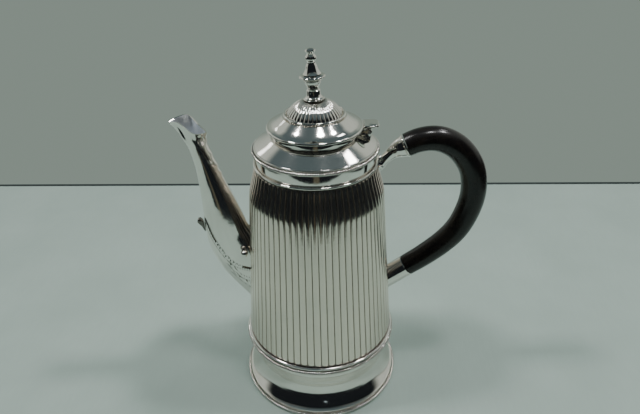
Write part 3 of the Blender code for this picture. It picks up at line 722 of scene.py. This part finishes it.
def spout_section(outer, inner, half_width, wall, mouth, sides):
    """One section of the spout; mouth goes from 0, an oval, to 1, the beaked mouth."""
    centre = (outer + inner) / 2
    reach = (inner - outer) / 2
    long_half = reach.length - wall
    axis = reach.normalized()
    ring = []
    for j in range(sides):
        a = 2 * pi * j / sides
        to_heel = cos(a)
        side = copysign(abs(sin(a)) ** (1 + MOUTH_POINT * mouth), sin(a))
        beak = 1 - mouth * MOUTH_BEAK * smoothstep(-to_heel / 0.6)
        lift = mouth * MOUTH_SADDLE * sin(a) ** 2 * (1 - smoothstep((to_heel + 0.2) / 0.8))
        ring.append(Vector((centre.x + axis.x * long_half * to_heel,
                            (half_width - wall) * beak * side,
                            centre.y + axis.y * long_half * to_heel + lift)))
    return ring


def distance_to(line, x, z):
    """Distance from (x, z) to a line of points, and how far along the line it is, 0 to 1."""
    nearest, along = 1e9, 0.0
    for k in range(len(line) - 1):
        a, b = line[k], line[k + 1]
        ahead = b - a
        t = max(0.0, min(1.0, ((x - a.x) * ahead.x + (z - a.y) * ahead.y) / ahead.length_squared))
        gap = hypot(x - a.x - ahead.x * t, z - a.y - ahead.y * t)
        if gap < nearest:
            nearest, along = gap, (k + t) / (len(line) - 1)
    return nearest, along


def leaf_relief(lines, x, z):
    """Height and grime of the leaf edges chased into each cheek of the spout's root."""
    height, grime = 0.0, 0.0
    for line, rise, serrated in lines:
        gap, along = distance_to(line, x, z)
        notch = 1.0
        if serrated and SERRATED_FROM < along < SERRATED_TO:
            notch = 0.55 + 0.45 * cos(2 * pi * along * SERRATIONS)
        fade = smoothstep(along / 0.12)
        height = max(height, rise * notch * fade * exp(-(gap / LEAF_WIDTH) ** 2))
        grime = max(grime, fade * exp(-((gap - 1.9 * LEAF_WIDTH) / GRIME_WIDTH) ** 2))
    return height, grime


def shaped_spout_point(point, j, axis, lines):
    """A point of the skin with the leaf edges and the beads along the inner edge added."""
    a = 2 * pi * j / SPOUT_SIDES
    x, y, z = point
    height, grime = 0.0, 0.0
    if z < LEAF_TOP:
        height, grime = leaf_relief(lines, x, z)
        cheek = smoothstep((abs(sin(a)) - 0.22) / 0.3)
        height *= cheek
        grime *= cheek
        y += copysign(height, y)
    if cos(a) > 0.3:
        for bead_x, bead_z, size in SPOUT_BEADS:
            near = exp(-((x - bead_x) ** 2 + (z - bead_z) ** 2 + 0.5 * y * y) / size ** 2)
            x += axis.x * SPOUT_BEAD_RISE * near
            z += axis.y * SPOUT_BEAD_RISE * near
    return (x, y, z), grime


def make_spout(silver, satin):
    """Hollow tube from the body to the mouth, polished outside and left unpolished inside."""
    outer = catmull_rom(SPOUT_OUTER, SPOUT_STATIONS)
    inner = catmull_rom(SPOUT_INNER, SPOUT_STATIONS)
    width = catmull_rom([(w, 0.0) for w in SPOUT_HALF_WIDTH], SPOUT_STATIONS)
    lines = [(catmull_rom(points, 20), rise, serrated) for points, rise, serrated in SPOUT_LEAVES]
    vertices, recess, bore = [], [], []
    for i in range(SPOUT_STATIONS + 1):
        mouth = smoothstep((i / SPOUT_STATIONS - MOUTH_START) / (1 - MOUTH_START))
        axis = (inner[i] - outer[i]).normalized()
        ring = spout_section(outer[i], inner[i], width[i].x, 0.0, mouth, SPOUT_SIDES)
        for j, point in enumerate(ring):
            shaped, grime = shaped_spout_point(point, j, axis, lines)
            vertices.append(shaped)
            recess.append(grime)
        bore.append(spout_section(outer[i], inner[i], width[i].x, SPOUT_WALL, mouth, SPOUT_SIDES))
    for ring in bore[::-1]:
        vertices += [tuple(v) for v in ring]
        recess += [0.0] * len(ring)
    faces = grid_faces(2 * (SPOUT_STATIONS + 1), SPOUT_SIDES, True)
    spout = new_piece("spout_look", vertices, faces, silver, POT, ("spout",), recess, 40)
    spout.data.materials.append(satin)
    for polygon in spout.data.polygons[(SPOUT_STATIONS + 1) * SPOUT_SIDES:]:
        polygon.material_index = 1


def make_spout_trim(silver, curl_shade_silver):
    """The scroll under the spout's bend, painted nearly black for the shade that falls on it, and
    a ball on a small seat on each cheek.
    """
    extruded("spout_scroll_look", SCROLL, -SCROLL_HALF, SCROLL_HALF, 1.4, curl_shade_silver, POT,
             ("spout_scroll",))
    for name in ("spout_boss_front", "spout_boss_back"):
        low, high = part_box(name)
        centre = (low + high) / 2 / MM
        radius = (high.x - low.x) / MM / 2
        outward = copysign(1.0, centre.y)
        profile = [(0.05, radius), *arc(0, 0, radius, radius, 88, -62, 20),
                   (radius * 0.62, -radius * 0.80), (radius * 0.80, -radius * 0.90),
                   (radius * 0.80, -radius), (0.05, -radius)]
        vertices = []
        for r, d in profile:
            for j in range(BOSS_SIDES):
                a = 2 * pi * j / BOSS_SIDES
                vertices.append((centre.x - AXIS_X / MM + r * cos(a), centre.y + outward * d,
                                 centre.z + r * sin(a)))
        faces = grid_faces(len(profile), BOSS_SIDES, True)
        new_piece(name + "_look", vertices, faces, silver, POT, (name,))


# ---------------------------------------------------------------- handle

def round_section(centre, along, radius, sides):
    across = Vector((-along[1], along[0])).normalized()
    ring = []
    for j in range(sides):
        a = 2 * pi * j / sides
        ring.append((centre[0] + across.x * radius * cos(a), radius * sin(a),
                     centre[1] + across.y * radius * cos(a)))
    return ring


def tube(name, rings, material, body, stands_for, sharp=35):
    """Skin over matching rings, with flat ends."""
    sides = len(rings[0])
    vertices = [v for ring in rings for v in ring]
    faces = grid_faces(len(rings), sides, False)
    faces += [tuple(range(sides)), tuple(range(len(vertices) - sides, len(vertices)))]
    new_piece(name, vertices, faces, material, body, stands_for, None, sharp)


def make_handle(silver, ebony):
    """The bowed grip, thickest in its middle, and the two sockets that hold it."""
    line = catmull_rom(GRIP_LINE, GRIP_STATIONS)
    first = (line[1] - line[0]).normalized()
    last = (line[-1] - line[-2]).normalized()
    rings = []
    for i, point in enumerate(line):
        ahead = line[min(i + 1, GRIP_STATIONS)] - line[max(i - 1, 0)]
        radius = HANDLE_R + HANDLE_SWELL * sin(pi * i / GRIP_STATIONS)
        shift = {0: first, GRIP_STATIONS: -last}.get(i, Vector((0.0, 0.0))) * GRIP_GAP
        rings.append(round_section(point + shift, ahead, radius, GRIP_SIDES))
    end_r = HANDLE_R - GRIP_CHAMFER
    top_end = round_section(line[0] + first * GRIP_GAP, first, end_r, GRIP_SIDES)
    low_end = round_section(line[-1] - last * GRIP_GAP, last, end_r, GRIP_SIDES)
    tube("handle_look", [top_end, *rings, low_end], ebony, POT, ("handle",), 40)
    make_upper_socket(silver, line)
    make_lower_socket(silver, line, last)


def pushed_out(point, centre, radius):
    """The point, moved out to the ball's surface if it is inside the ball."""
    away = Vector(point) - Vector(centre)
    if away.length >= radius:
        return point
    return tuple(Vector(centre) + away.normalized() * radius)


def make_upper_socket(silver, line):
    """Cast socket: a waist over its root, a bead on top, a drop on each side and a rim."""
    stations = UPPER_SOCKET_STATIONS
    path = catmull_rom([*UPPER_SOCKET_LINE, tuple(line[0])], stations)
    radii = catmull_rom([(r, 0.0) for r in UPPER_SOCKET_RADII], stations)
    rings = []
    for i in range(stations + 1):
        ahead = path[min(i + 1, stations)] - path[max(i - 1, 0)]
        from_rim = (path[i] - path[-1]).length - SOCKET_RIM
        rim = SOCKET_RIM_RISE * sqrt(max(0.0, 1 - (from_rim / SOCKET_RIM) ** 2))
        ring = round_section(path[i], ahead, radii[i].x + rim, GRIP_SIDES)
        for centre, radius in SOCKET_BEADS:
            ring = [pushed_out(point, centre, radius) for point in ring]
        rings.append(ring)
    tube("upper_socket_look", rings, silver, POT, ("upper_socket",))


def make_lower_socket(silver, line, last):
    rings = [round_section(line[-1] + last * d, last, HANDLE_R, GRIP_SIDES)
             for d in LOWER_SOCKET_STEPS]
    rings.append(round_section(line[-1], last, HANDLE_R - LOWER_SOCKET_CHAMFER, GRIP_SIDES))
    tube("lower_socket_look", rings, silver, POT, ("lower_socket",))


# ---------------------------------------------------------------- stage, light and camera

TABLE_BACK = 0.285            # metres behind the pot's axis, where the wall begins
TABLE_FRONT = -0.345          # the table ends here, and the dark room begins
TABLE_SIDE = 0.42
TABLE_TURN = radians(-2.9)
WALL_GAP = (0.0, 0.007, -0.001)          # the painted shade of the gap between table and wall shows this far behind the table
LAMP_DISTANCE = 1.3
LAMP_TARGET_Z = 0.15
CAMERA_Y, CAMERA_Z = -0.31223, 0.32484
CAMERA_LENS = 30.94
CAMERA_PITCH, CAMERA_YAW, CAMERA_ROLL = radians(30.808), radians(0.344), radians(-1.444)
WALL = (0.225, 0.275, 0.240)
SIDE_WALL = (0.50, 0.54, 0.49)
CEILING = (0.085, 0.115, 0.122)
DARK_ROOM = (0.010, 0.012, 0.014)
WARM_WALL = (0.085, 0.080, 0.055)


def make_table(table_mat, gap_shade_mat):
    """A pale table top turned a little to the camera, and behind it a dark sheet that paints the
    shade in the gap between table and wall.
    """
    bm = bmesh.new()
    corners = [(-TABLE_SIDE, TABLE_FRONT), (TABLE_SIDE, TABLE_FRONT), (TABLE_SIDE, TABLE_BACK),
               (-TABLE_SIDE, TABLE_BACK)]
    bm.faces.new([bm.verts.new((x, y, 0.0)) for x, y in corners])
    mesh = bpy.data.meshes.new("table")
    bm.to_mesh(mesh)
    bm.free()
    table = add_object("table", mesh)
    table.location.x = AXIS_X
    table.rotation_euler.z = TABLE_TURN
    mesh.materials.append(table_mat)
    # painted shade: a dark copy of the table top shows behind it as the shade in the gap
    gap = add_object("wall_gap", mesh.copy())
    gap.data.materials.clear()
    gap.data.materials.append(gap_shade_mat)
    gap.matrix_world = table.matrix_basis @ Matrix.Translation(WALL_GAP)


def table_material():
    n = Nodes("table_top")
    cloud = n.noise(n.coordinates(), 0.012, 3.0)
    weave = n.noise(n.coordinates((1.0, 0.2, 1.0)), 0.35, 2.0)
    pale = n.mix(n.remap(cloud, 0.35, 0.65), (0.455, 0.575, 0.515), (0.50, 0.62, 0.56))
    n.link(n.mix(n.remap(weave, 0.3, 0.7, 0.0, 0.25), pale, (0.43, 0.545, 0.49)),
           n.shader.inputs["Base Color"])
    n.shader.inputs["Roughness"].default_value = 0.55
    n.shader.inputs["Specular IOR Level"].default_value = 0.25
    return n.material


def gap_shade_material():
    # painted shade: dark colours for the shade in the gap between table and wall
    n = Nodes("painted_gap_shade")
    n.link(n.mix(n.noise(n.coordinates(), 0.02), (0.02, 0.03, 0.03), (0.04, 0.055, 0.055)),
           n.shader.inputs["Base Color"])
    n.shader.inputs["Roughness"].default_value = 0.8
    return n.material


def make_world():
    """A studio: pale wall behind and at the sides, dark room in front, dim ceiling above."""
    world = bpy.data.worlds.new("studio")
    bpy.context.scene.world = world
    world.use_nodes = True
    tree = world.node_tree
    background = tree.nodes["Background"]

    def add(kind, **settings):
        node = tree.nodes.new("ShaderNode" + kind)
        for key, value in settings.items():
            setattr(node, key, value)
        return node

    def ramp(value, low, high):
        node = add("MapRange", interpolation_type="SMOOTHSTEP")
        node.inputs["From Min"].default_value = low
        node.inputs["From Max"].default_value = high
        tree.links.new(value, node.inputs["Value"])
        return node.outputs["Result"]

    def multiply(a, b):
        node = add("Math", operation="MULTIPLY")
        tree.links.new(a, node.inputs[0])
        tree.links.new(b, node.inputs[1])
        return node.outputs["Value"]

    def mix(factor, a, b):
        node = add("Mix", data_type="RGBA")
        names = {s.name: s for s in node.inputs if s.enabled}
        for name, value in (("Factor", factor), ("A", a), ("B", b)):
            if isinstance(value, tuple):
                names[name].default_value = (*value, 1.0)
            else:
                tree.links.new(value, names[name])
        return next(s for s in node.outputs if s.enabled)

    direction = add("TexCoord").outputs["Generated"]
    axes = add("SeparateXYZ")
    tree.links.new(direction, axes.inputs["Vector"])
    x, y, z = (axes.outputs[k] for k in "XYZ")
    size = add("Math", operation="ABSOLUTE")
    tree.links.new(x, size.inputs[0])
    sideways = ramp(size.outputs["Value"], 0.15, 0.55)
    wall = mix(sideways, WALL, SIDE_WALL)
    above = mix(ramp(z, 0.60, 0.74), wall, CEILING)
    back_above = mix(ramp(z, 0.46, 0.55), wall, CEILING)
    shades = mix(sideways, back_above, above)
    front = ramp(y, 0.05, -0.22)
    low = ramp(z, 0.80, 0.55)
    shades = mix(multiply(front, low), shades, DARK_ROOM)
    shades = mix(multiply(ramp(z, 0.05, -0.06), ramp(y, 0.70, 0.50)), shades, DARK_ROOM)
    strip = multiply(ramp(size.outputs["Value"], 0.11, 0.06), ramp(y, -0.3, -0.6))
    shades = mix(multiply(strip, ramp(z, 0.05, -0.1)), shades, WARM_WALL)
    camera_ray = add("LightPath").outputs["Is Camera Ray"]
    tree.links.new(mix(camera_ray, shades, WALL), background.inputs["Color"])
    background.inputs["Strength"].default_value = 1.0


def add_lamp(name, tilt, heading, distance, size, power, colour=(1.0, 1.0, 1.0)):
    """A soft panel aimed at the pot: tilt from straight up, heading from +X towards +Y."""
    light = bpy.data.lights.new(name, "AREA")
    light.shape = "RECTANGLE"
    light.size, light.size_y = size
    light.energy = power
    light.color = colour
    obj = add_object(name, light)
    away = Vector((sin(tilt) * cos(heading), sin(tilt) * sin(heading), cos(tilt)))
    target = Vector((AXIS_X, 0.0, LAMP_TARGET_Z))
    obj.location = target + away * distance
    obj.rotation_mode = "QUATERNION"
    obj.rotation_quaternion = (-away).to_track_quat("-Z", "Y")


def add_lights():
    add_lamp("lamp_left", radians(30), radians(180), LAMP_DISTANCE, (0.17, 0.17), 5.6)
    add_lamp("lamp_right", radians(29), radians(2), LAMP_DISTANCE, (0.13, 0.13), 5.2)
    add_lamp("lamp_top", radians(12), radians(-42), LAMP_DISTANCE, (0.17, 0.17), 3.4)
    add_lamp("window_right", radians(34), radians(33), LAMP_DISTANCE, (0.11, 0.20), 0.9)
    add_lamp("window_left", radians(62), radians(130), LAMP_DISTANCE, (0.09, 0.16), 0.12)
    add_lamp("front_window", radians(76), radians(-86), 1.6, (0.10, 0.05), 0.02,
             (0.75, 0.88, 1.0))


def add_camera():
    camera = bpy.data.cameras.new("camera")
    camera.sensor_width = 36.0
    camera.lens = CAMERA_LENS
    camera.clip_start = 0.01
    obj = add_object("camera", camera)
    pitch, yaw, roll = CAMERA_PITCH, CAMERA_YAW, CAMERA_ROLL
    forward = Vector((sin(yaw) * cos(pitch), cos(yaw) * cos(pitch), -sin(pitch)))
    obj.rotation_mode = "QUATERNION"
    obj.rotation_quaternion = (forward.to_track_quat("-Z", "Y")
                               @ Quaternion((0.0, 0.0, 1.0), roll))
    obj.location = (AXIS_X, CAMERA_Y, CAMERA_Z)
    bpy.context.scene.camera = obj


def dress_cad_nodes(silver):
    """Materials for the inner CAD nodes that stay as they are."""
    steel = plain_metal("filed_pin", (0.52, 0.51, 0.50), (0.36, 0.35, 0.34), 0.28)
    brass = plain_metal("brass_fitting", (0.70, 0.55, 0.26), (0.50, 0.38, 0.18), 0.30)
    finishes = {"body_bottom": silver, "hinge_pin": steel,
                "upper_handle_pin": steel, "lower_handle_pin": steel, "finial_stud": brass,
                "finial_nut": brass}
    for node, material in finishes.items():
        mesh = bpy.data.objects[node].data
        mesh.materials.clear()
        mesh.materials.append(material)


def main():
    silver = silver_material("silver_plate_look")
    # the body's silver is tinted warmer and left a little rougher than the rest
    warm = silver_material("warmer_silver_plate", 0.12, 1.0, WARM_SILVER)
    satin = silver_material("unpolished_bore", 0.42, 0.6, UNPOLISHED_SILVER)
    # painted shade: the scroll's silver is nearly black to stand in for the shade on it
    curl_shade_silver = silver_material("curl_painted_shade", 0.16, 1.0, CURL_SHADE_COLOUR)
    ebony = ebony_material()
    make_foot(silver)
    make_lower_rings(silver)
    make_body(warm)
    make_collar(silver)
    make_shoulder(silver)
    make_lid(silver)
    crown = make_dome(silver)
    make_finial(silver, crown)
    make_hinge(silver)
    make_thumbpiece(silver)
    make_spout(silver, satin)
    make_spout_trim(silver, curl_shade_silver)
    make_handle(silver, ebony)
    dress_cad_nodes(silver)
    make_table(table_material(), gap_shade_material())
    make_world()
    add_lights()
    add_camera()


main()
